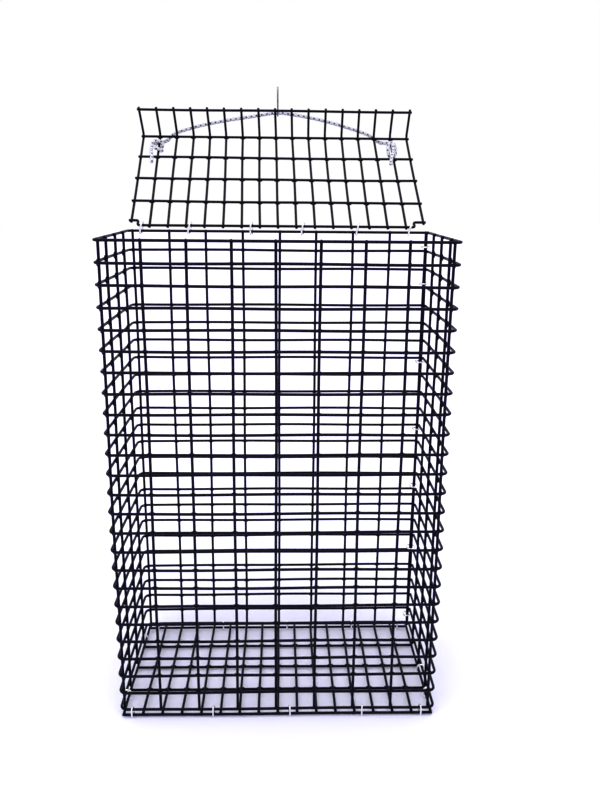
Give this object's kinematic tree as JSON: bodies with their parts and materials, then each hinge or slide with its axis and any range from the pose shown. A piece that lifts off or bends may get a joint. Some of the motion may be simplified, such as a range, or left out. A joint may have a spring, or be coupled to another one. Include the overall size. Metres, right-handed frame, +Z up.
{
  "type": "live catch trap",
  "caption": "Tall upright cage trap of black coated welded wire mesh with a clipped-on mesh floor, a lipped mesh lid on hog-ring hinges and an elastic cord with a hook that latches it",
  "frame": {"origin": "on the surface that the trap stands on, under the middle of its mesh floor", "axes": "+Z up along the tall cage, +X along the lid's hinge, +Y towards the hinged wall, so the lid's lip shuts over the wall at -Y"},
  "size_m": [0.424, 0.3791, 0.825],
  "materials": {
    "coated_wire": "black PVC coating, semi-gloss",
    "ring_metal": "bright zinc-plated steel",
    "cord_cover": "white braided cover with dark flecks",
    "hook_steel": "drawn steel wire, dull"
  },
  "bodies": {
    "cage": {"cage_sleeve": "coated_wire", "bottom_panel": "coated_wire", "hinge_ring_1": "ring_metal", "hinge_ring_2": "ring_metal", "hinge_ring_3": "ring_metal", "hinge_ring_4": "ring_metal", "hinge_ring_5": "ring_metal", "hinge_ring_6": "ring_metal", "seam_ring_1": "ring_metal", "seam_ring_2": "ring_metal", "seam_ring_3": "ring_metal", "seam_ring_4": "ring_metal", "seam_ring_5": "ring_metal", "seam_ring_6": "ring_metal", "seam_ring_7": "ring_metal", "front_ring_1": "ring_metal", "front_ring_2": "ring_metal", "front_ring_3": "ring_metal", "front_ring_4": "ring_metal", "front_ring_5": "ring_metal", "back_ring_1": "ring_metal", "back_ring_2": "ring_metal", "back_ring_3": "ring_metal", "back_ring_4": "ring_metal", "back_ring_5": "ring_metal", "left_ring_1": "ring_metal", "left_ring_2": "ring_metal", "right_ring_1": "ring_metal", "right_ring_2": "ring_metal"},
    "lid": {"lid_panel": "coated_wire", "lid_lip": "coated_wire", "bungee_knot_left": "cord_cover", "bungee_knot_right": "cord_cover"},
    "cord": {"bungee_cord": "cord_cover"},
    "hook": {"latch_hook": "hook_steel"}
  },
  "joints": [
    {"name": "lid_hinge", "type": "hinge", "parent": "cage", "child": "lid", "pos_m": [0, 0.1016, 0.6289], "axis": [-1, 0, 0], "range_deg": [-141.5, 63.5]},
    {"name": "hook_pull", "type": "slide", "parent": "lid", "child": "cord", "axis": [0, -0.6225, 0.7826], "range_m": [0, 0.05], "stiffness_N_per_m": 150, "springref_m": -0.02, "deforming": ["bungee_cord"]},
    {"name": "hook_tilt", "type": "hinge", "parent": "cord", "child": "hook", "pos_m": [-0.0025, 0.24943, 0.79031], "axis": [-1, 0, 0], "range_deg": [-3, 100]}
  ]
}
